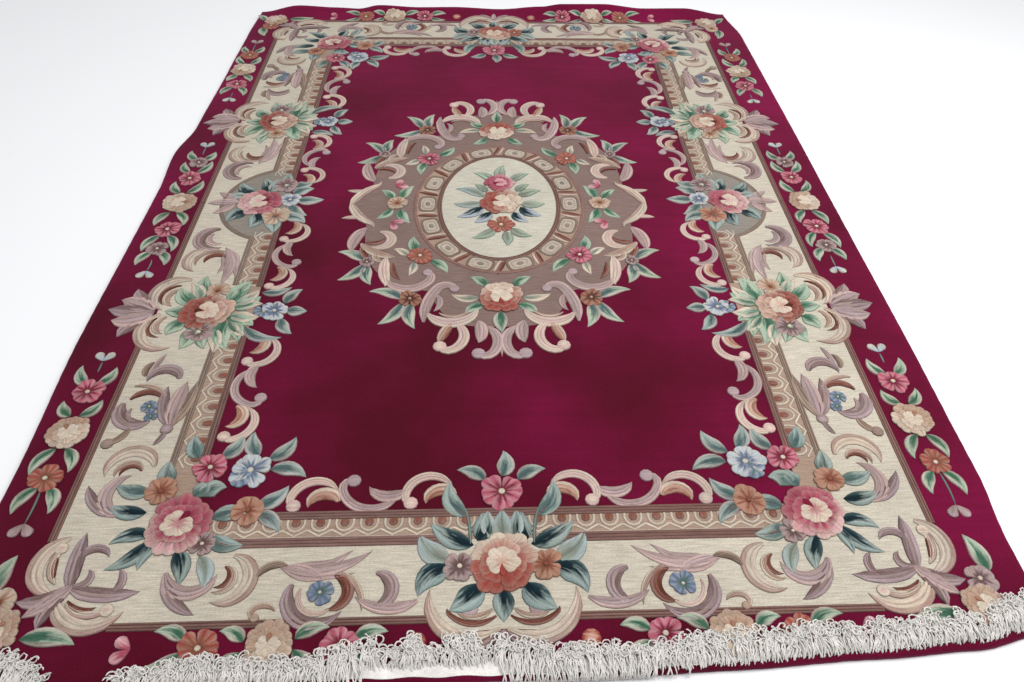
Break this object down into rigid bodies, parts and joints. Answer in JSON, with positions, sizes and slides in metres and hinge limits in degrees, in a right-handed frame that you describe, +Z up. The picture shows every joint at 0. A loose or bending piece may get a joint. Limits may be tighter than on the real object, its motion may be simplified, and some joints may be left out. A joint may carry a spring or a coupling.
{
  "type": "carved wool area rug with fringe",
  "caption": "Flat rectangular carved pile rug with a floral medallion, scroll borders, a waving far edge and a cotton fringe folded back along one end.",
  "frame": {"origin": "on the floor under the middle of the rug, at the centre of its bounding box's bottom", "axes": "+Y along the rug's length, away from the fringed end; +Z up through the thickness; +X to the right as seen from the fringed end"},
  "size_m": [1.8458, 2.5483, 0.045],
  "materials": {
    "wool_pile": "soft cut wool pile, burgundy ground with a many-coloured carved floral pattern",
    "cotton_fringe": "matt off-white twisted cotton yarn"
  },
  "bodies": {
    "root": {"rug": "wool_pile", "fringe": "cotton_fringe"}
  },
  "joints": []
}
